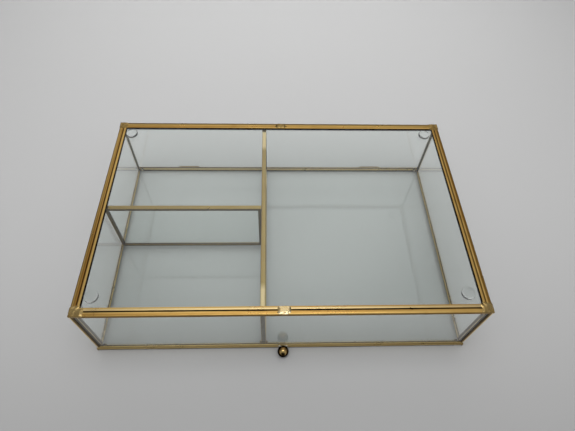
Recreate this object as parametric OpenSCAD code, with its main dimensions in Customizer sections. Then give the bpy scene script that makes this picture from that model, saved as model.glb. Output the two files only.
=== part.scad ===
// Glass jewelry box with a hinged lid and two dividers, lying on its lid with
// its feet up. Each pane sits in a frame of four folded brass channels with
// mitred corners, and the framed panes are soldered together edge to edge.
// X runs along the front, Y from the knob to the hinges, Z up from the lid's
// outer face. The origin is the middle of the footprint, knob and hinges in it.

/* [Case] */
// Width of the case across its front wall
case_w = 305; // [220:1:400]
// Depth of the case from the front wall to the hinged wall
case_d = 195; // [140:1:280]
// Height of the closed box, lid included and feet left out
box_h = 69.8; // [50:0.1:120]

/* [Lid] */
// How far the lid stands out past the front and side walls
lid_overhang = 0.5; // [0:0.1:2]
// Parting gap between the lid and the rim of the case
lid_gap = 0.3; // [0.2:0.1:0.8]

/* [Glass] */
// Thickness of every pane
glass_t = 3; // [2:0.1:5]
// Play between a pane's face and the side of its channel
glass_play = 0.05; // [0.02:0.01:0.15]
// Play between a pane's edge and the back of its channel
edge_play = 0.3; // [0.1:0.1:1]

/* [Channel] */
// Thickness of the brass sheet
sheet_t = 0.35; // [0.25:0.05:0.8]
// Depth of a channel, from its back to the lips of its sides
channel_depth = 2.7; // [2.5:0.1:6]
// Outside radius of the channel's two folds
fold_r = 0.6; // [0.5:0.05:1.2]
// Gap across each mitred corner
mitre_gap = 0.1; // [0.05:0.05:0.3]
// Seam between two channels that are soldered side by side
seam_gap = 0.1; // [0.05:0.05:0.3]

/* [Dividers] */
// Place of the long divider along the front, from the middle of the case
long_divider_x = -16; // [-60:1:60]
// Place of the short divider from the middle of the case
short_divider_y = -0.5; // [-40:0.1:40]
// How far the dividers stop short of the rim
divider_drop = 2.5; // [1:0.1:10]

/* [Knob] */
// Diameter of the ball
knob_d = 9.2; // [6:0.1:16]
// Gap between the ball and the lid's front rail, bridged by solder
knob_gap = 0.1; // [0.05:0.05:0.5]
// Reach of the solder round the ball's foot
knob_solder_r = 3; // [1.5:0.1:5]
// Height of that solder off the rail's face
knob_solder_h = 1.5; // [0.8:0.1:3]
// Clearance between the solder and the ball that it holds
knob_seat = 0.02; // [0.01:0.01:0.1]

/* [Hinges] */
// Distance from the side of the case to the middle of each hinge
hinge_inset = 55; // [30:1:90]
// Length of a leaf
hinge_w = 20; // [14:0.5:40]
// Diameter of the wire pin
pin_d = 1.9; // [1.2:0.1:3]
// Thickness of a leaf, which is rolled round the pin as its barrel
leaf_t = 0.6; // [0.4:0.1:1]
// Gap where the rolled end of a leaf comes back to its plate
curl_gap = 0.12; // [0.08:0.02:0.3]
// Gap between the barrel and the back face of the box
barrel_gap = 0.2; // [0.15:0.05:0.35]
// End gap between neighbouring knuckles
knuckle_gap = 0.2; // [0.1:0.05:0.5]
// Radial clearance of the pin in the case's turning knuckles
pin_play = 0.05; // [0.02:0.01:0.1]
// Radial clearance of the pin in the lid's tight knuckle
pin_hold = 0.01; // [0.01:0.01:0.02]
// Length of the pin's upset head at each end
pin_head = 0.6; // [0.3:0.1:1.5]
// How far the head stands out round the pin
pin_head_rim = 0.3; // [0.1:0.05:0.5]

/* [Feet] */
// Diameter of a bumper
foot_d = 10.2; // [8:0.1:16]
// Height of a bumper
foot_h = 2.4; // [1.5:0.1:6]
// Diameter of the flat that a bumper stands on
foot_flat_d = 6; // [2:0.1:9]
// Height of a bumper's straight edge
foot_edge = 0.7; // [0.3:0.1:1.2]
// Distance from the left wall to the middle of the left bumpers
foot_inset_left = 13.2; // [10:0.1:40]
// Distance from the right wall to the middle of the right bumpers
foot_inset_right = 15.8; // [10:0.1:40]
// Distance from the front and back walls to the middle of the bumpers
foot_inset_y = 15; // [10:0.1:40]

/* [Solder] */
// Radius of the cap over each corner of the case
corner_cap_r = 5.6; // [4:0.1:9]
// Radius of the spot that bridges the rails halfway along the front and back
seam_cap_r = 6; // [3:0.1:9]
// Height of the caps and spots
cap_h = 0.9; // [0.3:0.1:1.5]
// How far a seam spot runs over the rails' inner edge
seam_cap_spill = 0.6; // [0:0.1:2]
// Radius of the fillets at the dividers' ends
fillet_r = 1.6; // [1:0.1:3]
// Radius of the drop in each inner corner of the rim
drop_r = 1.8; // [1:0.1:3]
// Radius of the bead down each corner of the lid
bead_r = 0.7; // [0.4:0.1:1.2]

/* [Hidden] */

$fn = 48;
// Reach of a cutting block, past any size of the box
far = 1000;
brass = "#b8893f";
old_brass = "#6d4c22";
solder = "#a8854a";
clear_glass = [0.78, 0.85, 0.82, 0.35];
clear_plastic = [0.9, 0.93, 0.92, 0.5];

// A channel is as wide as the pane, its play and two sheets
channel_w = glass_t + 2 * (glass_play + sheet_t);
inner_fold_r = max(fold_r - sheet_t, 0.05);
// A pane ends this far inside the back of its channel
pane_inset = sheet_t + edge_play;

// Sides of a frame, counted round its pane
RIM = 0;
RIGHT = 1;
BASE = 2;
LEFT = 3;

// The footprint's middle lies between the knob's front and the barrels' back
knob_reach = lid_overhang + knob_gap + knob_d;
barrel_d = pin_d + 2 * (pin_play + leaf_t);
hinge_reach = barrel_gap + barrel_d / 2;
mid_y = (knob_reach - hinge_reach - barrel_d / 2) / 2;
front_y = mid_y - case_d / 2;
back_y = mid_y + case_d / 2;

// The lid is flush with the case at the hinges and proud on the other sides
lid_w = case_w + 2 * lid_overhang;
lid_d = case_d + lid_overhang;
rim_z = channel_w + lid_gap;
wall_h = box_h - rim_z;

// The side walls and the base pane fit between the walls that run past them
inner_w = case_w - 2 * (channel_w + seam_gap);
inner_d = case_d - 2 * (channel_w + seam_gap);
base_under_z = box_h - channel_w;

// The dividers hang under the base's frame and stop short of the rim
divider_h = base_under_z - seam_gap - rim_z - divider_drop;
divider_z = rim_z + divider_drop + divider_h / 2;
short_divider_w = inner_w / 2 + long_divider_x - channel_w / 2 - seam_gap;
short_divider_x = short_divider_w / 2 - inner_w / 2;

// The hinge axis lies on the parting gap, hinge_reach behind the back face
axis_y = back_y + hinge_reach;
axis_z = channel_w + lid_gap / 2;
// The lid holds the middle half of the barrel and the case its two ends
mid_knuckle_w = hinge_w / 2;
// A plate covers the flat of a channel's side, from just past its fold
leaf_foot = (lid_gap + fold_r) / 2;
leaf_h = channel_depth - fold_r;
// Where the barrel's outside meets the front of the plate
curl_angle = acos(1 - 2 * (leaf_t - barrel_gap) / barrel_d);

knob_y = front_y - lid_overhang - knob_gap - knob_d / 2;

// ---- Shared shapes ----

// The folded sheet's section: its back on x = 0, its mouth towards +x
module channel_section() {
    half = channel_w / 2;
    difference() {
        union() {
            for (s = [-1, 1])
                translate([fold_r, s * (half - fold_r)])
                    circle(r = fold_r);
            translate([fold_r, -half])
                square([channel_depth - fold_r, channel_w]);
            translate([0, fold_r - half])
                square([channel_depth, channel_w - 2 * fold_r]);
        }
        union() {
            for (s = [-1, 1])
                translate([sheet_t + inner_fold_r, s * (half - sheet_t - inner_fold_r)])
                    circle(r = inner_fold_r);
            translate([sheet_t + inner_fold_r, sheet_t - half])
                square([channel_depth, channel_w - 2 * sheet_t]);
            translate([sheet_t, sheet_t + inner_fold_r - half])
                square([channel_depth, channel_w - 2 * (sheet_t + inner_fold_r)]);
        }
    }
}

// One channel along X from 0 to length, its back on y = 0, both ends mitred
module channel(length) {
    cut = mitre_gap / 2;
    intersection() {
        rotate([90, 0, 90])
            linear_extrude(length)
                channel_section();
        translate([0, 0, -channel_w])
            linear_extrude(2 * channel_w)
                polygon([
                    [cut, 0],
                    [length - cut, 0],
                    [length - cut - channel_depth, channel_depth],
                    [cut + channel_depth, channel_depth]
                ]);
    }
}

// One side of the frame round a pane of w by h, which lies in the XY plane
module frame_side(side, w, h) {
    length = side % 2 == 0 ? w : h;
    reach = side % 2 == 0 ? h : w;
    color(brass)
        rotate([0, 0, 90 * side])
            translate([-length / 2, -reach / 2, 0])
                channel(length);
}

module pane(w, h) {
    color(clear_glass)
        cube([w - 2 * pane_inset, h - 2 * pane_inset, glass_t], center = true);
}

// A flat drop of solder on the XY plane, r wide and height high
module solder_cap(r, height) {
    arc_r = (r * r + height * height) / (2 * height);
    rotate_extrude($fn = 96)
        intersection() {
            translate([0, height - arc_r])
                circle(r = arc_r, $fn = 720);
            square([r, height]);
        }
}

// ---- Places of the framed panes ----

module in_lid() {
    translate([0, mid_y - lid_overhang / 2, channel_w / 2])
        children();
}

module in_base() {
    translate([0, mid_y, box_h - channel_w / 2])
        children();
}

module in_front() {
    translate([0, front_y + channel_w / 2, rim_z + wall_h / 2])
        rotate([90, 0, 0])
            children();
}

module in_back() {
    translate([0, back_y - channel_w / 2, rim_z + wall_h / 2])
        rotate([90, 0, 0])
            children();
}

module in_left() {
    translate([channel_w / 2 - case_w / 2, mid_y, rim_z + wall_h / 2])
        rotate([90, 0, 90])
            children();
}

module in_right() {
    translate([case_w / 2 - channel_w / 2, mid_y, rim_z + wall_h / 2])
        rotate([90, 0, 90])
            children();
}

module in_long_divider() {
    translate([long_divider_x, mid_y, divider_z])
        rotate([90, 0, 90])
            children();
}

module in_short_divider() {
    translate([short_divider_x, mid_y + short_divider_y, divider_z])
        rotate([90, 0, 0])
            children();
}

// ---- Lid ----

module lid_glass() {
    in_lid() pane(lid_w, lid_d);
}

module lid_front_rail() {
    in_lid() frame_side(RIM, lid_w, lid_d);
}

module lid_back_rail() {
    in_lid() frame_side(BASE, lid_w, lid_d);
}

module lid_left_rail() {
    in_lid() frame_side(LEFT, lid_w, lid_d);
}

module lid_right_rail() {
    in_lid() frame_side(RIGHT, lid_w, lid_d);
}

// A bead of solder down the mitre at each corner of the lid
module lid_corner_solder() {
    color(solder)
        in_lid()
            difference() {
                for (sx = [-1, 1])
                    for (sy = [-1, 1])
                        translate([sx * (lid_w / 2 - fold_r / 2), sy * (lid_d / 2 - fold_r / 2), 0])
                            cylinder(r = bead_r, h = channel_w - 2 * fold_r, center = true);
                cube([lid_w, lid_d, channel_w], center = true);
            }
}

module knob() {
    color(old_brass)
        translate([0, knob_y, knob_d / 2])
            sphere(d = knob_d, $fn = 64);
}

// Solder between the ball and the face of the lid's front rail
module knob_solder() {
    color(solder)
        difference() {
            translate([0, front_y - lid_overhang, channel_w / 2])
                intersection() {
                    rotate([90, 0, 0])
                        solder_cap(knob_solder_r, knob_solder_h);
                    cube([far, far, channel_w - fold_r], center = true);
                }
            translate([0, knob_y, knob_d / 2])
                sphere(r = knob_d / 2 + knob_seat, $fn = 64);
        }
}

// ---- Base ----

module base_glass() {
    in_base() pane(inner_w, inner_d);
}

module base_front_rail() {
    in_base() frame_side(RIM, inner_w, inner_d);
}

module base_back_rail() {
    in_base() frame_side(BASE, inner_w, inner_d);
}

module base_left_rail() {
    in_base() frame_side(LEFT, inner_w, inner_d);
}

module base_right_rail() {
    in_base() frame_side(RIGHT, inner_w, inner_d);
}

// ---- Front wall ----

module front_glass() {
    in_front() pane(case_w, wall_h);
}

module front_rim_rail() {
    in_front() frame_side(RIM, case_w, wall_h);
}

module front_base_rail() {
    in_front() frame_side(BASE, case_w, wall_h);
}

module front_left_post() {
    in_front() frame_side(LEFT, case_w, wall_h);
}

module front_right_post() {
    in_front() frame_side(RIGHT, case_w, wall_h);
}

// ---- Back wall ----

module back_glass() {
    in_back() pane(case_w, wall_h);
}

module back_rim_rail() {
    in_back() frame_side(RIM, case_w, wall_h);
}

module back_base_rail() {
    in_back() frame_side(BASE, case_w, wall_h);
}

module back_left_post() {
    in_back() frame_side(LEFT, case_w, wall_h);
}

module back_right_post() {
    in_back() frame_side(RIGHT, case_w, wall_h);
}

// ---- Left wall ----

module left_glass() {
    in_left() pane(inner_d, wall_h);
}

module left_rim_rail() {
    in_left() frame_side(RIM, inner_d, wall_h);
}

module left_base_rail() {
    in_left() frame_side(BASE, inner_d, wall_h);
}

module left_front_post() {
    in_left() frame_side(LEFT, inner_d, wall_h);
}

module left_back_post() {
    in_left() frame_side(RIGHT, inner_d, wall_h);
}

// ---- Right wall ----

module right_glass() {
    in_right() pane(inner_d, wall_h);
}

module right_rim_rail() {
    in_right() frame_side(RIM, inner_d, wall_h);
}

module right_base_rail() {
    in_right() frame_side(BASE, inner_d, wall_h);
}

module right_front_post() {
    in_right() frame_side(LEFT, inner_d, wall_h);
}

module right_back_post() {
    in_right() frame_side(RIGHT, inner_d, wall_h);
}

// ---- Long divider, from the front wall to the back wall ----

module long_divider_glass() {
    in_long_divider() pane(inner_d, divider_h);
}

module long_divider_rim_rail() {
    in_long_divider() frame_side(RIM, inner_d, divider_h);
}

module long_divider_base_rail() {
    in_long_divider() frame_side(BASE, inner_d, divider_h);
}

module long_divider_front_post() {
    in_long_divider() frame_side(LEFT, inner_d, divider_h);
}

module long_divider_back_post() {
    in_long_divider() frame_side(RIGHT, inner_d, divider_h);
}

// ---- Short divider, from the left wall to the long divider ----

module short_divider_glass() {
    in_short_divider() pane(short_divider_w, divider_h);
}

module short_divider_rim_rail() {
    in_short_divider() frame_side(RIM, short_divider_w, divider_h);
}

module short_divider_base_rail() {
    in_short_divider() frame_side(BASE, short_divider_w, divider_h);
}

module short_divider_left_post() {
    in_short_divider() frame_side(LEFT, short_divider_w, divider_h);
}

module short_divider_right_post() {
    in_short_divider() frame_side(RIGHT, short_divider_w, divider_h);
}

// ---- Solder that joins the framed panes ----

// The rails' top faces, from the outer faces to the lips round the base pane
module rail_tops(spill) {
    lips = 2 * (channel_depth - spill);
    translate([0, mid_y, 0])
        difference() {
            translate([-case_w / 2, -case_d / 2, 0])
                cube([case_w, case_d, far]);
            cube([inner_w - lips, inner_d - lips, 2 * far], center = true);
        }
}

// A cap over the corner on side sx, sy, where two walls and the base meet
module corner_cap(sx, sy) {
    color(solder)
        intersection() {
            translate([sx * (case_w / 2 - channel_w), mid_y + sy * (case_d / 2 - channel_w), box_h])
                solder_cap(corner_cap_r, cap_h);
            rail_tops(0);
        }
}

module front_left_solder() {
    corner_cap(-1, -1);
}

module front_right_solder() {
    corner_cap(1, -1);
}

module back_left_solder() {
    corner_cap(-1, 1);
}

module back_right_solder() {
    corner_cap(1, 1);
}

// A spot across the seam between wall and base, halfway along front and back
module seam_solder() {
    color(solder)
        intersection() {
            for (sy = [-1, 1])
                translate([0, mid_y + sy * (case_d / 2 - channel_w), box_h])
                    solder_cap(seam_cap_r, cap_h);
            rail_tops(seam_cap_spill);
        }
}

// A fillet in each inner corner where a divider's end meets a rail at the rim
module divider_fillets(w) {
    for (sx = [-1, 1])
        for (sz = [-1, 1])
            translate([sx * w / 2, 0, sz * channel_w / 2])
                intersection() {
                    translate([0, fillet_r, 0])
                        sphere(r = fillet_r, $fn = 32);
                    translate([-sx * fillet_r, fillet_r, sz * fillet_r])
                        cube(2 * fillet_r, center = true);
                }
}

module divider_solder() {
    color(solder) {
        in_long_divider()
            translate([0, -divider_h / 2, 0])
                divider_fillets(inner_d);
        in_short_divider()
            translate([0, -divider_h / 2, 0])
                divider_fillets(short_divider_w);
    }
}

// A drop in each inner corner of the case, halfway up the rim rails
module rim_corner_solder() {
    color(solder)
        for (sx = [-1, 1])
            for (sy = [-1, 1])
                translate([sx * (case_w / 2 - channel_w), mid_y, rim_z + channel_depth / 2])
                    intersection() {
                        translate([0, sy * (case_d / 2 - channel_w), 0])
                            sphere(r = drop_r, $fn = 32);
                        translate([-sx * drop_r, sy * (case_d / 2 - channel_w - drop_r), 0])
                            cube(2 * drop_r, center = true);
                    }
}

// ---- Feet: clear bumpers stuck on the base pane ----

module bumper() {
    r = foot_d / 2;
    flat_r = foot_flat_d / 2;
    rise = foot_h - foot_edge;
    // Depth of the dome's centre below the straight edge's top
    drop = (r * r - flat_r * flat_r - rise * rise) / (2 * rise);
    intersection() {
        cylinder(r = r, h = foot_h);
        translate([0, 0, foot_edge - drop])
            sphere(r = sqrt(r * r + drop * drop), $fn = 64);
    }
}

module bumper_feet() {
    color(clear_plastic)
        for (x = [foot_inset_left - case_w / 2, case_w / 2 - foot_inset_right])
            for (y = [front_y + foot_inset_y, back_y - foot_inset_y])
                translate([x, y, box_h - sheet_t - glass_play])
                    bumper();
}

// ---- Hinges: rolled barrels on two pins ----

module at_hinges() {
    for (s = [-1, 1])
        translate([s * (case_w / 2 - hinge_inset), axis_y, axis_z])
            children();
}

// A leaf's section, with the pin at the origin and the box on the -x side: the
// plate stands on the back face, and its foot is rolled round the pin
module leaf_section(bore_r) {
    difference() {
        union() {
            // The roll, open where its end comes back towards the plate
            difference() {
                circle(d = barrel_d);
                rotate(180 - curl_angle)
                    translate([0, -2 * curl_gap])
                        square([barrel_d, curl_gap]);
            }
            translate([-hinge_reach, leaf_foot])
                square([leaf_t, leaf_h]);
        }
        circle(r = bore_r);
    }
}

// A whole leaf, its plate above the pin
module leaf(bore_r) {
    rotate([90, 0, 90])
        linear_extrude(hinge_w, center = true)
            leaf_section(bore_r);
}

// Room round the barrel for a knuckle of the other leaf, w long about x
module knuckle_room(x, w) {
    translate([x, 0, 0])
        rotate([0, 90, 0])
            cylinder(d = barrel_d + 2 * knuckle_gap, h = w, center = true);
}

// The lid's leaves keep the middle of the barrel, tight on the pin
module lid_hinge_leaves() {
    color(brass)
        at_hinges()
            difference() {
                mirror([0, 0, 1])
                    leaf(pin_d / 2 + pin_hold);
                for (s = [-1, 1])
                    knuckle_room(s * (mid_knuckle_w + hinge_w) / 2, hinge_w);
            }
}

// The case's leaves keep its two ends, which turn on the pin
module case_hinge_leaves() {
    color(brass)
        at_hinges()
            difference() {
                leaf(pin_d / 2 + pin_play);
                knuckle_room(0, mid_knuckle_w + 2 * knuckle_gap);
            }
}

module hinge_pins() {
    color(old_brass)
        at_hinges()
            rotate([0, 90, 0]) {
                cylinder(d = pin_d, h = hinge_w + 2 * knuckle_gap, center = true);
                for (s = [-1, 1])
                    translate([0, 0, s * (hinge_w / 2 + knuckle_gap + pin_head / 2)])
                        cylinder(d = pin_d + 2 * pin_head_rim, h = pin_head, center = true);
            }
}

lid_glass();
lid_front_rail();
lid_back_rail();
lid_left_rail();
lid_right_rail();
lid_corner_solder();
knob();
knob_solder();
base_glass();
base_front_rail();
base_back_rail();
base_left_rail();
base_right_rail();
front_glass();
front_rim_rail();
front_base_rail();
front_left_post();
front_right_post();
back_glass();
back_rim_rail();
back_base_rail();
back_left_post();
back_right_post();
left_glass();
left_rim_rail();
left_base_rail();
left_front_post();
left_back_post();
right_glass();
right_rim_rail();
right_base_rail();
right_front_post();
right_back_post();
long_divider_glass();
long_divider_rim_rail();
long_divider_base_rail();
long_divider_front_post();
long_divider_back_post();
short_divider_glass();
short_divider_rim_rail();
short_divider_base_rail();
short_divider_left_post();
short_divider_right_post();
front_left_solder();
front_right_solder();
back_left_solder();
back_right_solder();
seam_solder();
divider_solder();
rim_corner_solder();
bumper_feet();
lid_hinge_leaves();
case_hinge_leaves();
hinge_pins();
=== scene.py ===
# Glass jewelry box with a hinged lid, lying on its lid with its feet up. Framed panes
# of glass are soldered together edge to edge, and two more panes divide the inside.
import math

import bmesh
import bpy
from mathutils import Matrix, Vector, noise


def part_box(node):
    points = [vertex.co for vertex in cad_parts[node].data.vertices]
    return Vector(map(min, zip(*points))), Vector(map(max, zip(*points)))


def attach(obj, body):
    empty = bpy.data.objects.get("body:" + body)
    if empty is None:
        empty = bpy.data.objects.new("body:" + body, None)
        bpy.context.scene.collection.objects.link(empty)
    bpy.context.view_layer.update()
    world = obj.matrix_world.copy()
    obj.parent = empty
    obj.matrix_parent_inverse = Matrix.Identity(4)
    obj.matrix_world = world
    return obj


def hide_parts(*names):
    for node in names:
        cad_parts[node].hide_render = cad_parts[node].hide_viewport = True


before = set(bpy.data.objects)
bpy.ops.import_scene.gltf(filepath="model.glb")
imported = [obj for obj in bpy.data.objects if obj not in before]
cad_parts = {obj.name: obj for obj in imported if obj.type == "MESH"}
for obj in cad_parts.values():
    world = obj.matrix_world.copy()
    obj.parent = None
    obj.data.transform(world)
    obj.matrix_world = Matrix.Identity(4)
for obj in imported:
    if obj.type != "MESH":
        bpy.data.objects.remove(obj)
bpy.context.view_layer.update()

# ---- Camera ----
# A hand-held view from just in front of the box and well above it, looking down into
# the compartments, with the box turned a little and tipped a little in the frame.
camera = bpy.data.objects.new("camera", bpy.data.cameras.new("camera"))
bpy.context.scene.collection.objects.link(camera)
camera.location = (-0.010045, -0.217700, 0.368280)
turned, tipped_down, leaning = (math.radians(a) for a in (-3.7878, 54.8375, -2.9877))
camera.rotation_euler = (
    Matrix.Rotation(turned, 4, "Z")
    @ Matrix.Rotation(math.pi / 2 - tipped_down, 4, "X")
    @ Matrix.Rotation(-leaning, 4, "Z")
).to_euler()
camera.data.lens = 27.667
camera.data.sensor_width = 36
camera.data.clip_start = 0.01
bpy.context.scene.camera = camera

# ---- Panes ----
# Cut panes of 3 mm float glass, faintly green, with their edges hidden in the channels.
# Hands leave a faint haze on the faces, and the faces aren't perfectly flat.
x_axis, y_axis, z_axis = 0, 1, 2
glass_tint = (0.950, 0.970, 0.960, 1)
lamp_tint = (0.930, 0.941, 0.937, 1)


def new_finish(name):
    """An empty material, and a helper that adds a node with its values or links."""
    finish = bpy.data.materials.new(name)
    finish.use_nodes = True
    tree = finish.node_tree
    tree.nodes.clear()

    def add(kind, inputs=(), **settings):
        node = tree.nodes.new("ShaderNode" + kind)
        for key, value in settings.items():
            setattr(node, key, value)
        for socket, value in dict(inputs).items():
            if isinstance(value, bpy.types.NodeSocket):
                tree.links.new(value, node.inputs[socket])
            else:
                node.inputs[socket].default_value = value
        return node

    return finish, add


def ramp(add, value, low, high, start=0.0, end=1.0):
    """Turns the part of value between low and high into start to end."""
    inputs = {"Value": value, "From Min": low, "From Max": high, "To Min": start, "To Max": end}
    return add("MapRange", inputs).outputs["Result"]


def sum_of(add, kind, a, b=0.0):
    """One sum on one or two numbers."""
    return add("Math", {0: a, 1: b}, operation=kind).outputs[0]


def laid_over(add, share, under, over):
    """One colour over another, as much as share says."""
    return add("Mix", {0: share, 6: under, 7: over}, data_type="RGBA").outputs[2]


def faces_along(add, axis):
    """How squarely the surface faces one way or the other along an axis, from 0 to 1."""
    normal = add("NewGeometry").outputs["Normal"]
    return sum_of(add, "ABSOLUTE", add("SeparateXYZ", {0: normal}).outputs[axis])


def clear_finish(name, tint, ior, haze, haze_scale, edge=None):
    """Clear glass or plastic that lets the lamps through to what it covers. Where an edge
    colour is given, its upright sides are painted with it: a painted shade for a dark rim."""
    finish, add = new_finish(name)
    if edge:
        # Painted shade: upright sides darkened with the edge colour, for the dark ring at a clear rim.
        tint = laid_over(add, ramp(add, faces_along(add, z_axis), 0.45, 0.10), tint, edge)
    place = add("TexCoord").outputs["Object"]
    smears = add("TexNoise", {"Vector": place, "Scale": haze_scale, "Detail": 4, "Distortion": 0.6})
    waves = add("TexNoise", {"Vector": place, "Scale": 14, "Detail": 1})
    wavy = add("Bump", {"Height": waves.outputs["Fac"], "Strength": 0.4, "Distance": 0.0001})
    clear = add("BsdfPrincipled", {
        "Base Color": tint,
        "Roughness": ramp(add, smears.outputs["Fac"], 0.52, 0.8, 0, haze),
        "IOR": ior,
        "Transmission Weight": 1.0,
        "Normal": wavy.outputs["Normal"],
    })
    path = add("LightPath")
    open_side = add("BsdfTransparent", {"Color": lamp_tint})
    through = open_side.outputs[0]
    lamps = add("MixShader", {0: path.outputs["Is Shadow Ray"], 1: clear.outputs[0], 2: through})
    bounces = add("MixShader", {0: path.outputs["Is Diffuse Ray"], 1: lamps.outputs[0], 2: through})
    add("OutputMaterial", {"Surface": bounces.outputs[0]})
    return finish


def coat(node, finish):
    """Gives a part of the frame its finish."""
    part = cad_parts[node]
    part.data.materials.clear()
    part.data.materials.append(finish)


float_glass = clear_finish("float_glass", glass_tint, ior=1.52, haze=0.05, haze_scale=35)
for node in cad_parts:
    if node.endswith("_glass"):
        coat(node, float_glass)

# ---- Brass channels ----
# Each pane's frame is four mitred lengths of channel, folded from thin drawn brass that
# crowned a little as it folded. Tops and folds are painted bright, sides mostly darker: painted
# light, partly wear. Painted shade darkens the inside, the seams, the inner lip and the rim.
bright_brass = (0.88, 0.585, 0.190, 1)
red_brass = (0.60, 0.340, 0.090, 1)
streaked_brass = (0.42, 0.22, 0.05, 1)
# Painted shade for the upright sides of rails and posts.
painted_side_shade = (0.24, 0.130, 0.022, 1)
painted_post_shade = (0.11, 0.065, 0.018, 1)
painted_back_post_shade = (0.055, 0.050, 0.022, 1)
# Painted highlight for the crowns, the posts' outer edges and the long divider's front end.
painted_highlight_brass = (0.92, 0.74, 0.40, 1)
tarnish = (0.20, 0.105, 0.025, 1)
# Painted shade for the inside of the channels; the darkest is also the dirt of posts and hinges.
painted_channel_shade = (0.085, 0.052, 0.018, 1)
grime_and_painted_shade = (0.014, 0.008, 0.003, 1)
# Painted shade for the seams' grooves, the inner lips and the outer rims.
painted_seam_shade = (0.016, 0.003, 0.001, 1)
warm_shine = (1.0, 0.93, 0.80, 1)
# How far off a seam its painted shade line, inner lip and outer rim, and the crowns lie, where
# less than 0 is towards the middle of the box. The first crown size is how steeply it falls.
seam_shade_half, seam_shade_fade, seam_shade_ragged = 0.00062, 0.0003, 0.0004
lip_start, lip_end = -0.00235, -0.00255
rim_start, rim_end = 0.0008, 0.0036
crown_fall, crown_near, crown_far = 26, 0.0003, 0.0011


def distance(add, value, point):
    """How far a value is from a point, on either side of it."""
    return sum_of(add, "ABSOLUTE", sum_of(add, "SUBTRACT", value, point))


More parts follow.
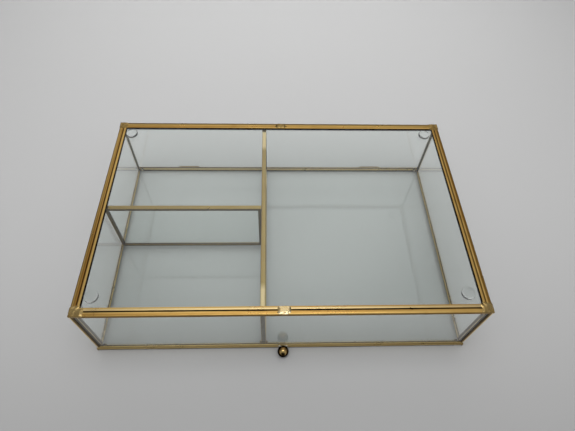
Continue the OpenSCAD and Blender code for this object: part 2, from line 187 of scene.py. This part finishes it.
def brass_finish(name, stretch, tones, seam=None, worn=None):
    """Drawn brass, its drawing lines long where stretch is small, in x, y or z.
    Its tones are clean, ruddy, the upright sides (painted darker or paler than the top as the light falls),
    dirt, the painted shade inside the fold, and how rough.
    A seam has the axis across it, the middle of the box and how far out it lies, where
    its crowns are, how strong the painted highlight on the inner one is, and how dark the
    painted shade of its line, lip and rim is.
    Painted band says where a painted highlight brightens it: the axis, the middle, how
    far out it starts and how gently, and whether it goes down the upright sides too."""
    clean, ruddy, sides, dirt, painted_inside_shade, rough = tones
    finish, add = new_finish(name)
    place = add("TexCoord").outputs["Object"]
    drawn = add("Mapping", {"Vector": place, "Scale": stretch}).outputs[0]
    lines = add("TexNoise", {"Vector": drawn, "Scale": 1700, "Detail": 3, "Roughness": 0.6}).outputs["Fac"]
    flutes = add("TexNoise", {"Vector": drawn, "Scale": 760, "Detail": 1}).outputs["Fac"]
    bands = add("TexNoise", {"Vector": drawn, "Scale": 620, "Detail": 2}).outputs["Fac"]
    patches = add("TexNoise", {"Vector": place, "Scale": 60, "Detail": 4, "Distortion": 0.5}).outputs["Fac"]
    open_air = add("AmbientOcclusion", {"Distance": 0.005}, samples=8, only_local=True).outputs["AO"]
    facing_up = add("SeparateXYZ", {0: add("NewGeometry").outputs["Normal"]}).outputs[z_axis]
    upright = sum_of(add, "MAXIMUM", faces_along(add, x_axis), faces_along(add, y_axis))
    squarest = sum_of(add, "MAXIMUM", upright, faces_along(add, z_axis))
    # Painted light, partly wear: faces turned up and the folds take the top colour, upright faces the side
    # colour.
    painted_sheen_and_wear = sum_of(add, "MAXIMUM", ramp(add, facing_up, 0.2, 0.9), ramp(add, squarest, 0.97, 0.85))
    top = laid_over(add, ramp(add, bands, 0.44, 0.60), clean, ruddy)
    top = laid_over(add, ramp(add, patches, 0.56, 0.74, 0, 0.5), top, ruddy)
    if worn:
        # Painted highlight over a band at the given distance from the middle.
        along = add("SeparateXYZ", {0: place}).outputs[worn["axis"]]
        out = distance(add, along, worn["middle"])
        by_painted_band = ramp(add, out, worn["start"], worn["start"] + worn["fade"])
        top = laid_over(add, by_painted_band, top, painted_highlight_brass)
        if worn["sides"]:
            painted_sheen_and_wear = sum_of(add, "MAXIMUM", painted_sheen_and_wear, by_painted_band)
    colour = laid_over(add, painted_sheen_and_wear, sides, top)
    colour = laid_over(add, ramp(add, lines, 0.55, 0.85, 0, 0.5), colour, dirt)
    # Painted shade: where the channel closes round a point, it is darkened.
    colour = laid_over(add, ramp(add, open_air, 0.93, 0.70), colour, painted_inside_shade)
    crown = {}
    if seam:
        along = add("SeparateXYZ", {0: place}).outputs[seam["axis"]]
        off = sum_of(add, "SUBTRACT", distance(add, along, seam["middle"]), seam["out"])
        ragged = sum_of(add, "MULTIPLY", patches, seam_shade_ragged)
        ragged = sum_of(add, "ADD", distance(add, off, seam["line_at"]), ragged)
        # Painted shade: the seam's groove, the inner lip and the outer rim are darkened by where they lie.
        by_line = ramp(add, ragged, seam_shade_half + seam_shade_fade, seam_shade_half, 0, seam["line"])
        by_lip = ramp(add, off, lip_start, lip_end, 0, seam["lip"])
        by_rim = ramp(add, off, rim_start, rim_end, 0, seam["rim"])
        for share in (by_line, by_lip, by_rim):
            colour = laid_over(add, share, colour, painted_seam_shade)
        from_crown = distance(add, off, seam["crown_at"])
        from_crown = sum_of(add, "SUBTRACT", from_crown, seam["crown_off"])
        # Painted highlight along the inner crown.
        painted_crown_highlight = ramp(add, sum_of(add, "ABSOLUTE", from_crown), crown_far, crown_near, 0, seam["pale"])
        painted_crown_highlight = sum_of(add, "MULTIPLY", painted_crown_highlight, ramp(add, off, 0.0002, -0.0006))
        colour = laid_over(add, painted_crown_highlight, colour, painted_highlight_brass)
        fall = sum_of(add, "MULTIPLY", sum_of(add, "MULTIPLY", from_crown, from_crown), -crown_fall)
        crowned = add("Bump", {"Height": fall, "Strength": 1.0, "Distance": 1.0})
        crown = {"Normal": crowned.outputs["Normal"]}
    fluted = add("Bump", {"Height": flutes, "Strength": 0.8, "Distance": 0.00012, **crown})
    fine = add("Bump", {
        "Height": lines, "Strength": 0.4, "Distance": 0.00002, "Normal": fluted.outputs["Normal"],
    })
    metal = add("BsdfPrincipled", {
        "Base Color": colour,
        "Metallic": 1.0,
        "Specular Tint": warm_shine,
        "Roughness": ramp(add, patches, 0.3, 0.7, rough - 0.05, rough + 0.1),
        "Normal": fine.outputs["Normal"],
    })
    add("OutputMaterial", {"Surface": metal.outputs[0]})
    return finish


def seam_across(axis, first, second, third, fourth, **look):
    """A seam between the first two rails, and its like between the other two."""
    near = (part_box(first)[1][axis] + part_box(second)[0][axis]) / 2
    far = (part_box(third)[1][axis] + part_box(fourth)[0][axis]) / 2
    look = {"line_at": 0, "crown_at": 0, "lip": 0, "rim": 0, "pale": 0, **look}
    return {"axis": axis, "middle": (near + far) / 2, "out": (far - near) / 2, **look}


front_to_back = y_axis, "front_base_rail", "base_front_rail", "base_back_rail", "back_base_rail"
side_to_side = x_axis, "left_base_rail", "base_left_rail", "base_right_rail", "right_base_rail"
front_seam = seam_across(
    *front_to_back, line_at=0.00025, line=1.0, crown_at=0.00025, crown_off=0.0014, pale=0.75
)
back_seam = seam_across(*front_to_back, line=0, crown_at=-0.0020, crown_off=0, lip=1.0, rim=0.62)
side_seam = seam_across(*side_to_side, line=0.55, crown_off=0.0017, lip=1.0, rim=0.50)
lid_top, case_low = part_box("lid_front_rail")[1].z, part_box("front_rim_rail")[0].z
parting = {**side_seam, "axis": z_axis, "middle": 0, "out": (lid_top + case_low) / 2}
parting.update(line=0.3, crown_off=0.0014, lip=0.9, rim=0)

case_left, case_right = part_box("front_left_post")[0].x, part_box("front_right_post")[1].x
case_middle, case_half = (case_right + case_left) / 2, (case_right - case_left) / 2
case_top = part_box("front_base_rail")[1].z
front_end = -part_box("long_divider_base_rail")[0].y
post_start = case_half - 0.0013
# Painted highlights: a strip down each post's outer edge and the front end of the long divider.
post_edge_highlight = {"axis": x_axis, "middle": case_middle, "start": post_start, "fade": 0.0003, "sides": True}
divider_end_highlight = {"axis": y_axis, "middle": 0, "start": front_end - 0.023, "fade": 0.006, "sides": False}

long_x, long_y, long_z = (0.005, 1, 1), (1, 0.005, 1), (1, 1, 0.005)
top_tones = bright_brass, red_brass, painted_side_shade, tarnish, grime_and_painted_shade, 0.3
side_tones = bright_brass, streaked_brass, painted_side_shade, tarnish, grime_and_painted_shade, 0.3
# A paler, brighter copy of the brass for the low rails of lid and rim, with pale sides: painted light.
painted_lit_low_tones = (0.84, 0.66, 0.32, 1), (0.62, 0.44, 0.18, 1), (0.70, 0.53, 0.24, 1), tarnish, painted_channel_shade, 0.3
post_tones = (1.0, 0.78, 0.38, 1), (0.80, 0.60, 0.28, 1), painted_post_shade, grime_and_painted_shade, grime_and_painted_shade, 0.3
back_post_tones = (1.0, 0.78, 0.38, 1), (0.80, 0.60, 0.28, 1), painted_back_post_shade, grime_and_painted_shade, grime_and_painted_shade, 0.3
# The dividers' upright sides are painted dark, a painted shade under their tops.
divider_tones = (0.54, 0.40, 0.135, 1), (0.44, 0.30, 0.09, 1), (0.10, 0.075, 0.025, 1), tarnish, painted_channel_shade, 0.32
finishes = {
    "front": brass_finish("brass_front_seam", long_x, top_tones, front_seam),
    "back": brass_finish("brass_back_seam", long_x, top_tones, back_seam),
    "side": brass_finish("brass_side_seams", long_y, side_tones, side_seam),
    "post": brass_finish("brass_post", long_z, post_tones, worn=post_edge_highlight),
    "back_post": brass_finish("brass_back_post", long_z, back_post_tones, worn=post_edge_highlight),
    "low_x": brass_finish("brass_along_x", long_x, painted_lit_low_tones, parting),
    "low_y": brass_finish("brass_along_y", long_y, painted_lit_low_tones, parting),
    "divider_x": brass_finish("divider_brass_along_x", long_x, divider_tones),
    "divider_y": brass_finish("divider_brass_along_y", long_y, divider_tones, worn=divider_end_highlight),
    "divider_post": brass_finish("divider_brass_upright", long_z, divider_tones),
}
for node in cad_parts:
    low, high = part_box(node)
    run = "x" if high.x - low.x > high.y - low.y else "y"
    if node.endswith("_post"):
        kind = "divider_" if "divider" in node else "back_" if "back" in node else ""
        coat(node, finishes[kind + "post"])
    elif node.endswith("_rail"):
        if "divider" in node:
            coat(node, finishes["divider_" + run])
        elif high.z > case_top - 0.0001:
            wall = node.replace("base", "").replace("rail", "").strip("_")
            coat(node, finishes[wall if wall in ("front", "back") else "side"])
        else:
            coat(node, finishes["low_" + run])

# ---- Solder at the corners ----
# Where two walls and the base meet, the ends of the rails are drowned in a lump of
# solder, plated with the rest. It runs a little way down over the edges of the box.
case_front, case_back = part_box("front_base_rail")[0].y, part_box("back_base_rail")[1].y
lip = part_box("base_left_rail")[1].x - case_left
edge_radius = 0.00035
skin_step, solder_sink = 0.0003, 0.00015
outline_wander, outline_lap = 0.0009, 0.0003
lump_rise, lump_run = 0.00042, 0.0022
rim_height, rim_run, rim_bedded = 0.00008, 0.0004, 0.00006
hangs_down, burnt_ragged = 0.0018, 0.0012
solder_bright = (0.56, 0.40, 0.165, 1)
solder_dull = (0.40, 0.27, 0.10, 1)
solder_flux = (0.10, 0.062, 0.024, 1)


def solder_finish(name, bright, dull, flux, rough, burnt=None, ringed=None, metal=1.0):
    """Plated solder: bright crowns, duller hollows, and burnt flux in the pits.
    Burnt is the axis, the middle and how far out the flux on its ends starts and ends.
    Painted outline shade is the axis a drop faces along, and how far it turns away before a painted shade
    in the flux colour rings it."""
    finish, add = new_finish(name)
    place = add("TexCoord").outputs["Object"]
    clouds = add("TexNoise", {"Vector": place, "Scale": 260, "Detail": 4, "Distortion": 0.8}).outputs["Fac"]
    pits = add("TexVoronoi", {"Vector": place, "Scale": 520, "Randomness": 1.0}).outputs["Distance"]
    grain = add("TexNoise", {"Vector": place, "Scale": 1600, "Detail": 3}).outputs["Fac"]
    colour = laid_over(add, ramp(add, clouds, 0.38, 0.66), bright, dull)
    colour = laid_over(add, ramp(add, pits, 0.22, 0.06, 0, 0.7), colour, flux)
    if burnt:
        axis, middle, start, end = burnt
        reach = distance(add, add("SeparateXYZ", {0: place}).outputs[axis], middle)
        reach = sum_of(add, "ADD", reach, sum_of(add, "MULTIPLY", clouds, burnt_ragged))
        colour = laid_over(add, ramp(add, reach, start, end, 0, 0.9), colour, flux)
    if ringed:
        axis, start, end = ringed
        # Painted shade: darker where the surface turns away from the axis, ringing its outline.
        colour = laid_over(add, ramp(add, faces_along(add, axis), start, end), colour, flux)
    lumps = add("Bump", {"Height": clouds, "Strength": 0.3, "Distance": 0.0002})
    fine = add("Bump", {
        "Height": grain, "Strength": 0.25, "Distance": 0.00004, "Normal": lumps.outputs["Normal"],
    })
    solder = add("BsdfPrincipled", {
        "Base Color": colour,
        "Metallic": metal,
        "Roughness": ramp(add, clouds, 0.3, 0.7, rough - 0.05, rough + 0.12),
        "Normal": fine.outputs["Normal"],
    })
    add("OutputMaterial", {"Surface": solder.outputs[0]})
    return finish


def as_piece(name, mesh):
    """Smooths a finished mesh and puts it into the scene under its name."""
    for face in mesh.faces:
        face.smooth = True
    data = bpy.data.meshes.new(name)
    mesh.to_mesh(data)
    mesh.free()
    piece = bpy.data.objects.new(name, data)
    bpy.context.scene.collection.objects.link(piece)
    return piece


def smooth_step(t):
    """A rise from 0 to 1 that starts and ends gently."""
    t = min(max(t, 0.0), 1.0)
    return t * t * (3 - 2 * t)


def over_edges(u, v, wraps_u):
    """The top of the box u in from its end and v in from its side, and the normal there.
    Past the edges it goes down the wall. Z is how far down a point lies."""
    past_u = max(edge_radius - u, 0.0) if wraps_u else 0.0
    past_v = max(edge_radius - v, 0.0)
    past = math.hypot(past_u, past_v)
    if past == 0:
        return Vector((u, v, 0)), Vector((0, 0, -1))
    way = Vector((past_u / past, past_v / past, 0))
    turn = min(past / edge_radius, math.pi / 2)
    beyond = past - turn * edge_radius
    start = Vector((u + past_u, v + past_v, 0))
    point = start - way * (edge_radius * math.sin(turn))
    point.z = edge_radius * (1 - math.cos(turn)) + beyond
    return point, Vector((-way.x * math.sin(turn), -way.y * math.sin(turn), -math.cos(turn)))


def steps_through(low, high):
    """The places that a skin's points take from low to high."""
    return [low + i * skin_step for i in range(round((high - low) / skin_step) + 1)]


def solder_skin(name, inside, rise, u_range, v_range, to_frame, seed, wraps_u=True):
    """A closed lumpy skin on the rails; inside says how deep in its outline a point is.
    It folds down over the side of the box, and over its end too unless wraps_u is off."""
    mesh = bmesh.new()
    made = {}
    for i, u in enumerate(steps_through(*u_range)):
        for j, v in enumerate(steps_through(*v_range)):
            depth = inside(u, v) + noise.noise(Vector((u * 420, v * 420, seed))) * outline_wander
            if depth < -outline_lap:
                continue
            lump = noise.noise(Vector((u * 330, v * 330, seed + 5.0)))
            lump += 0.3 * noise.noise(Vector((u * 800, v * 800, seed + 9.0)))
            height = rise * smooth_step(depth / lump_run) * (1 + 0.35 * lump)
            height += rim_height * smooth_step(depth / rim_run) - rim_bedded
            point, normal = over_edges(u, v, wraps_u)
            top = mesh.verts.new(to_frame(point + normal * height))
            under = mesh.verts.new(to_frame(point - normal * solder_sink))
            made[i, j] = top, under
    sides = {}
    for i, j in made:
        ring = [(i, j), (i + 1, j), (i + 1, j + 1), (i, j + 1)]
        if all(key in made for key in ring):
            mesh.faces.new([made[key][0] for key in ring])
            mesh.faces.new([made[key][1] for key in reversed(ring)])
            for a, b in zip(ring, ring[1:] + ring[:1]):
                sides[a, b] = True
    for a, b in sides:
        if (b, a) not in sides:
            mesh.faces.new([made[b][0], made[a][0], made[a][1], made[b][1]])
    loose = [v for v in mesh.verts if not v.link_faces]
    bmesh.ops.delete(mesh, geom=loose, context="VERTS")
    bmesh.ops.recalc_face_normals(mesh, faces=mesh.faces)
    return as_piece(name, mesh)


plated_solder = solder_finish("plated_solder", solder_bright, solder_dull, solder_flux, 0.24)
# The back corners take a darker copy of the solder, a painted shade.
painted_shade_corner_tones = (0.46, 0.31, 0.11, 1), (0.28, 0.175, 0.05, 1), solder_flux
browned_solder = solder_finish("browned_solder", *painted_shade_corner_tones, 0.26)
skin_covers = (-0.0024, 0.0117)
# Each corner: its side and the way in from it, its end and the way in from that, how far
# the lump reaches along each, and the number that its lumps come from.
corners = {
    "front_left": (case_left, 1, case_front, 1, 0.0099, 0.0080, 1.0),
    "front_right": (case_right, -1, case_front, 1, 0.0088, 0.0080, 2.0),
    "back_left": (case_left, 1, case_back, -1, 0.0075, 0.0072, 3.0),
    "back_right": (case_right, -1, case_back, -1, 0.0084, 0.0078, 4.0),
}
for corner, (edge_x, way_x, edge_y, way_y, reach_x, reach_y, seed) in corners.items():

    def inside(u, v):
        return min(reach_x - u, reach_y - v, lip - min(u, v), u + hangs_down, v + hangs_down)

    def to_frame(p):
        return Vector((edge_x + way_x * p.x, edge_y + way_y * p.y, case_top - p.z))

    name = corner + "_solder_lump"
    piece = solder_skin(name, inside, lump_rise, skin_covers, skin_covers, to_frame, seed)
    piece.data.materials.append(plated_solder if "front" in corner else browned_solder)
    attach(piece, "case")
    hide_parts(corner + "_solder")

# ---- Solder halfway along the front and back ----
# One spot of solder at the middle of each long seam ties the wall to the base between
# the corners. It bridges both rails, with burnt flux at its ends.
spot_x, spot_rise = -0.0003, 0.00045
spot_middle, spot_half = 0.0037, 0.0052
spot_along, spot_over = (-0.0075, 0.0075), (-0.0015, 0.0090)
spot_slope, short_of_lip, past_edge = 0.004, 0.0001, 0.0004
burnt_ends = (x_axis, spot_x, 0.0036, 0.0056)
burnt_flux = (0.05, 0.028, 0.006, 1)
# The front spot's finish is a brightened copy, a painted highlight; the back spot's is a darker copy, a
# painted shade.
painted_highlight_spot_tones = (1.0, 0.82, 0.48, 1), (0.90, 0.66, 0.30, 1), burnt_flux
painted_shade_spot_tones = (0.50, 0.34, 0.12, 1), (0.30, 0.19, 0.06, 1), burnt_flux
rubbed_solder = solder_finish("rubbed_solder", *painted_highlight_spot_tones, 0.22, burnt=burnt_ends)
dull_solder = solder_finish("dull_solder", *painted_shade_spot_tones, 0.3, burnt=burnt_ends)
# Each spot: the side it is on and the way in from it, how far it reaches to either hand,
# the number that its lumps come from, and its finish.
seam_spots = {
    "front": (case_front, 1, 0.0052, 6.0, rubbed_solder),
    "back": (case_back, -1, 0.0050, 8.0, dull_solder),
}
for side, (edge_y, way_y, reach, seed, finish) in seam_spots.items():

    def inside(u, v):
        from_outline = 1 - math.hypot(u / reach, (v - spot_middle) / spot_half)
        return min(from_outline * spot_slope, lip - short_of_lip - v, v + past_edge)

    def to_frame(p):
        return Vector((p.x + spot_x, edge_y + way_y * p.y, case_top - p.z))

    name = side + "_seam_spot"
    spot = solder_skin(name, inside, spot_rise, spot_along, spot_over, to_frame, seed, wraps_u=False)
    spot.data.materials.append(finish)
    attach(spot, "case")
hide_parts("seam_solder")

# ---- Small solder joints ----
# Fillets at the dividers' ends and beads at the lid's corners. They are left as they
# set, so they are rougher and darker than the rails.
joint_tones = (0.44, 0.33, 0.155, 1), (0.26, 0.185, 0.08, 1), solder_flux
joint_solder = solder_finish("joint_solder", *joint_tones, 0.3)
for node in ("divider_solder", "lid_corner_solder"):
    coat(node, joint_solder)

# ---- Drops in the corners of the rim ----
# A flat drop of solder on the rim rail beside each inner corner, paler than the brass,
# with a painted shade ringing its outline where it turns away from facing front or back.
drops_low, drops_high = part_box("rim_corner_solder")
drop_z = (drops_low.z + drops_high.z) / 2
drop_halves = (0.0017, 0.0019, 0.0015)
drop_in, drop_bedded, drop_uneven = 0.0024, 0.0002, 0.16
pale_tones = (0.44, 0.38, 0.25, 1), (0.30, 0.26, 0.17, 1), (0.03, 0.022, 0.008, 1)
pale_solder = solder_finish("pale_solder", *pale_tones, 0.3, ringed=(y_axis, 0.62, 0.40), metal=0.35)
for end, (x, way_x) in {"left": (drops_low.x, 1), "right": (drops_high.x, -1)}.items():
    for side, (y, way_y) in {"front": (drops_low.y, 1), "back": (drops_high.y, -1)}.items():
        drop = bmesh.new()
        bmesh.ops.create_icosphere(drop, subdivisions=4, radius=1)
        for vert in drop.verts:
            lump = 1 + drop_uneven * noise.noise(vert.co * 1.6 + Vector((x * 900, y * 900, 0)))
            spread = Vector([half * part for half, part in zip(drop_halves, vert.co)])
            vert.co = spread * lump + Vector((x + way_x * drop_in, y - way_y * drop_bedded, drop_z))
        piece = as_piece("rim_drop_%s_%s" % (side, end), drop)
        piece.data.materials.append(pale_solder)
        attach(piece, "case")
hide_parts("rim_corner_solder")

# ---- Knob ----
# A solid ball of brass, lacquered almost black. On the side that faces up and forward lies
# a painted reflection: brown round a patch of gold, with a black pool just below them.
lacquer_black = (0.016, 0.009, 0.003, 1)
painted_reflection_brown = (0.34, 0.19, 0.065, 1)
painted_reflection_gold = (0.80, 0.57, 0.23, 1)
painted_reflection_black = (0.020, 0.011, 0.003, 1)
scratch_brown = (0.10, 0.06, 0.02, 1)
brown_way, gold_way, painted_dark_way = (0, -0.31, 0.95), (0, -0.50, 0.866), (-0.05, -0.76, 0.65)
knob_finish, add = new_finish("blackened_knob")
place = add("TexCoord").outputs["Object"]
normal = add("NewGeometry").outputs["Normal"]
blotches = add("TexNoise", {"Vector": place, "Scale": 420, "Detail": 4}).outputs["Fac"]
scratches = add("TexNoise", {"Vector": place, "Scale": 2200, "Detail": 3}).outputs["Fac"]
uneven = sum_of(add, "MULTIPLY", blotches, 0.10)
faced = []
for way in (brown_way, gold_way, painted_dark_way):
    facing = add("VectorMath", {0: normal, 1: way}, operation="DOT_PRODUCT").outputs["Value"]
    faced.append(sum_of(add, "ADD", facing, uneven))
by_brown, by_gold, by_painted_dark = faced
# Painted reflection: brown and gold where the ball faces up and forward, a black pool just below.
colour = laid_over(add, ramp(add, by_brown, 0.72, 0.84), lacquer_black, painted_reflection_brown)
colour = laid_over(add, ramp(add, by_gold, 0.84, 0.94), colour, painted_reflection_gold)
colour = laid_over(add, ramp(add, by_painted_dark, 0.95, 1.02), colour, painted_reflection_black)
colour = laid_over(add, ramp(add, scratches, 0.60, 0.80, 0, 0.4), colour, scratch_brown)
fine = add("Bump", {"Height": scratches, "Strength": 0.25, "Distance": 0.00002})
polished = add("BsdfPrincipled", {
    "Base Color": colour,
    "Metallic": 1.0,
    "Specular Tint": (0.10, 0.06, 0.03, 1),
    "Roughness": ramp(add, blotches, 0.3, 0.7, 0.12, 0.24),
    "Normal": fine.outputs["Normal"],
})
add("OutputMaterial", {"Surface": polished.outputs[0]})
coat("knob", knob_finish)

# ---- Knob solder ----
# A run of solder behind the ball ties it to the top edge of the lid's front rail. It
# set in two fat bright drops, one on either side, with a thin neck between them.
ball_low, ball_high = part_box("knob")
ball_middle = (ball_low + ball_high) / 2
rail_front, rail_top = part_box("lid_front_rail")[0].y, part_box("lid_front_rail")[1].z
drop_out, drop_r, drop_length, neck_r, run_half = 0.0031, 0.0012, 0.00075, 0.00035, 0.0045
run_forward, run_up, run_thin, run_lean = 0.00019, 0.0007, 0.50, 0.06
blunt_back, blunt_up = 0.7, 0.5
run_steps, run_sides = 48, 24
run = bmesh.new()
rings = []
for i in range(run_steps + 1):
    x = (i / run_steps * 2 - 1) * run_half
    fat = min(1.4 * math.exp(-(((abs(x) - drop_out) / drop_length) ** 2)), 1.0)
    end = math.sqrt(max(1 - (x / run_half) ** 2, 0.0004)) if abs(x) > drop_out else 1.0
    radius = (neck_r + (drop_r - neck_r) * fat) * end
    ring = []
    for k in range(run_sides):
        turn = 2 * math.pi * k / run_sides
        wander = 1 + 0.04 * noise.noise(Vector((x * 900, math.cos(turn), math.sin(turn))))
        back = math.copysign(abs(math.cos(turn)) ** blunt_back, math.cos(turn))
        up = math.copysign(abs(math.sin(turn)) ** blunt_up, math.sin(turn)) + run_lean * back
        y = rail_front - run_forward + radius * wander * run_thin * back
        z = rail_top + run_up + radius * wander * up
        ring.append(run.verts.new((ball_middle.x + x, y, z)))
    rings.append(ring)
for ring, following in zip(rings, rings[1:]):
    for k in range(run_sides):
        n = (k + 1) % run_sides
        run.faces.new((ring[k], ring[n], following[n], following[k]))
run.faces.new(list(reversed(rings[0])))
run.faces.new(rings[-1])
bmesh.ops.recalc_face_normals(run, faces=run.faces)
# Near-white partly as solder is, partly a painted highlight for its glints; its upright sides get a painted
# shade.
solder_and_glint_tones = (0.99, 0.95, 0.86, 1), (0.90, 0.83, 0.70, 1), (0.30, 0.22, 0.12, 1)
bright_solder = solder_finish("bright_solder", *solder_and_glint_tones, 0.28, ringed=(z_axis, 0.25, 0.05), metal=0.3)
knob_run = as_piece("knob_solder_run", run)
knob_run.data.materials.append(bright_solder)
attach(knob_run, "lid")
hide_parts("knob_solder")

# ---- Hinges ----
# Two butt hinges of pressed brass leaf, rolled round pins of the same brass and
# soldered to the back of the lid and the case. They are dull, as they came.
crown_brass, dull_brass = (0.34, 0.25, 0.12, 1), (0.26, 0.18, 0.08, 1)
hinge_tones = crown_brass, dull_brass, painted_side_shade, grime_and_painted_shade, grime_and_painted_shade, 0.35
hinge_brass = brass_finish("hinge_brass", (1, 1, 1), hinge_tones)
for node in ("lid_hinge_leaves", "case_hinge_leaves", "hinge_pins"):
    coat(node, hinge_brass)

# ---- Feet ----
# Four clear soft bumpers stuck on the base pane: moulded discs with a rounded rim and a
# shallow domed top.
feet_low, feet_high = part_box("bumper_feet")
foot_radius, foot_height, foot_shoulder = 0.0051, 0.0024, 0.0009
clear_of_glass, stuck_edge = 0.00003, 0.0001
dome_rise, dome_half_way = 0.00005, 0.00001
shoulder_steps, foot_sides = 8, 64
# The bumpers' upright rims take a painted shade.
bumper_tint, painted_bumper_rim_shade = (0.985, 0.99, 0.987, 1), (0.16, 0.17, 0.16, 1)
foot_centres = [
    (x, y)
    for x in (feet_low.x + foot_radius, feet_high.x - foot_radius)
    for y in (feet_low.y + foot_radius, feet_high.y - foot_radius)
]
soft_clear = clear_finish(
    "clear_bumper", bumper_tint, ior=1.48, haze=0.06, haze_scale=300, edge=painted_bumper_rim_shade
)


def turned_piece(name, outline, sides):
    """Turns an outline of radius and height round an upright axis into a closed piece."""
    mesh = bmesh.new()
    rings = []
    for radius, height in outline:
        if radius == 0:
            rings.append([mesh.verts.new((0, 0, height))] * sides)
            continue
        turns = [2 * math.pi * k / sides for k in range(sides)]
        rings.append([mesh.verts.new((radius * math.cos(t), radius * math.sin(t), height)) for t in turns])
    for below, above in zip(rings, rings[1:]):
        for k in range(sides):
            n = (k + 1) % sides
            round_face = [below[k], below[n], above[n], above[k]]
            mesh.faces.new(list(dict.fromkeys(round_face)))
    bmesh.ops.recalc_face_normals(mesh, faces=mesh.faces)
    return as_piece(name, mesh)


def bumper_outline():
    """Out from the middle of the stuck side, up the edge, round the shoulder to the crown."""
    stuck = (0, foot_radius * 0.6, foot_radius - stuck_edge)
    points = [(radius, clear_of_glass) for radius in stuck]
    points += [(foot_radius, stuck_edge), (foot_radius, foot_height - foot_shoulder)]
    for k in range(1, shoulder_steps + 1):
        t = k / shoulder_steps * math.pi / 2
        points.append((
            foot_radius - foot_shoulder * (1 - math.cos(t)),
            foot_height - foot_shoulder + (foot_shoulder - dome_rise) * math.sin(t),
        ))
    points += [(foot_radius * 0.5, foot_height - dome_half_way), (0, foot_height)]
    return points


for number, (x, y) in enumerate(foot_centres, 1):
    foot = turned_piece("bumper_%d" % number, bumper_outline(), foot_sides)
    foot.location = (x, y, feet_low.z)
    foot.data.materials.append(soft_clear)
    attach(foot, "case")
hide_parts("bumper_feet")

# ---- Floor and lights ----
# A plain pale floor under one wide soft lamp overhead. Two more soft lamps fill the
# floor round the box and behind it. Soft light comes from all round, brightest from
# high up behind.
under_lid = 0.00002
floor_mesh = bmesh.new()
bmesh.ops.create_grid(floor_mesh, x_segments=8, y_segments=8, size=4)
floor = as_piece("floor", floor_mesh)
floor.location.z = -under_lid
floor_finish, add = new_finish("pale_floor")
matt = add("BsdfPrincipled", {"Base Color": (0.52, 0.52, 0.52, 1), "Roughness": 0.75})
add("OutputMaterial", {"Surface": matt.outputs[0]})
floor.data.materials.append(floor_finish)


def soft_lamp(name, place, aim, width, depth, watts):
    """A wide lamp that lights its aim but can't be seen itself, straight or through glass."""
    lamp = bpy.data.objects.new(name, bpy.data.lights.new(name, "AREA"))
    lamp.data.shape = "RECTANGLE"
    lamp.data.size, lamp.data.size_y = width, depth
    lamp.data.energy = watts
    lamp.location = place
    lamp.rotation_euler = (Vector(aim) - Vector(place)).to_track_quat("-Z", "Y").to_euler()
    lamp.visible_camera = lamp.visible_transmission = False
    bpy.context.scene.collection.objects.link(lamp)
    return lamp


soft_lamp("overhead_lamp", (0, 0, 1.4), (0, 0, 0), 0.9, 0.6, 3.4)
fill_lamp = soft_lamp("fill_lamp", (0, -0.06, 0.45), (0, 0.12, 0), 1.1, 0.3, 0.9)
back_lamp = soft_lamp("back_lamp", (0, 0.5, 0.9), (0, 0.5, 0), 1.0, 0.3, 1.0)
for lamp, spread in ((fill_lamp, 110), (back_lamp, 60)):
    lamp.visible_glossy = False
    lamp.data.spread = math.radians(spread)

high_behind = (0, 0.70, 0.714)
all_round, brightest = 0.29, 0.80
world = bpy.data.worlds.new("soft_surround")
bpy.context.scene.world = world
world.use_nodes = True
tree = world.node_tree
surround = tree.nodes["Background"]
surround.inputs["Color"].default_value = (1, 1, 1, 1)
outward = tree.nodes.new("ShaderNodeTexCoord")
toward = tree.nodes.new("ShaderNodeVectorMath")
toward.operation = "DOT_PRODUCT"
toward.inputs[1].default_value = high_behind
glow = tree.nodes.new("ShaderNodeMapRange")
glow.interpolation_type = "SMOOTHSTEP"
glow_inputs = {"From Min": 0.88, "From Max": 0.98, "To Min": all_round, "To Max": brightest}
for socket, value in glow_inputs.items():
    glow.inputs[socket].default_value = value
tree.links.new(outward.outputs["Generated"], toward.inputs[0])
tree.links.new(toward.outputs["Value"], glow.inputs["Value"])
tree.links.new(glow.outputs["Result"], surround.inputs["Strength"])
bpy.context.scene.view_settings.view_transform = "Standard"

# ---- Last update ----
# The scene is brought up to date once every piece is placed. The solder and the feet
# made here keep the box the size it was.
bpy.context.view_layer.update()
